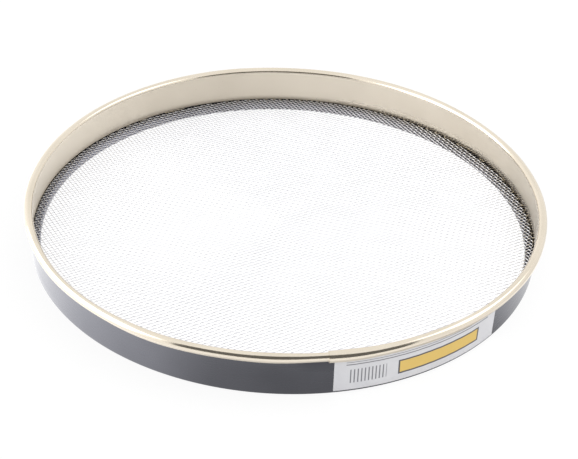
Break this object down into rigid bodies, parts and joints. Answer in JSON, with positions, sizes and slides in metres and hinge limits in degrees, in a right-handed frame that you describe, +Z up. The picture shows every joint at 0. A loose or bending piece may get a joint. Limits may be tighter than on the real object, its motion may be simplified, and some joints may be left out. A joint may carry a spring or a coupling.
{
  "type": "round drum sieve",
  "caption": "Shallow round drum sieve: two rolled sheet hoops clamp a flat woven wire cloth; the top edge is curled into a bead and the foot is rolled inward.",
  "frame": {"origin": "Centre of the circle on which the foot stands.", "axes": "+Z up along the drum's axis, away from the surface it stands on; -Y is the side towards the camera, with the label to the right of it; +X is the camera's right."},
  "size_m": [0.3919, 0.3918, 0.0366],
  "materials": {
    "lacquer": "gloss",
    "tinplate": "gloss",
    "wire": "satin",
    "paper": "satin"
  },
  "bodies": {
    "root": {"inner_hoop": "lacquer", "outer_hoop": "tinplate", "wire_mesh": "wire", "label": "paper"}
  },
  "joints": []
}
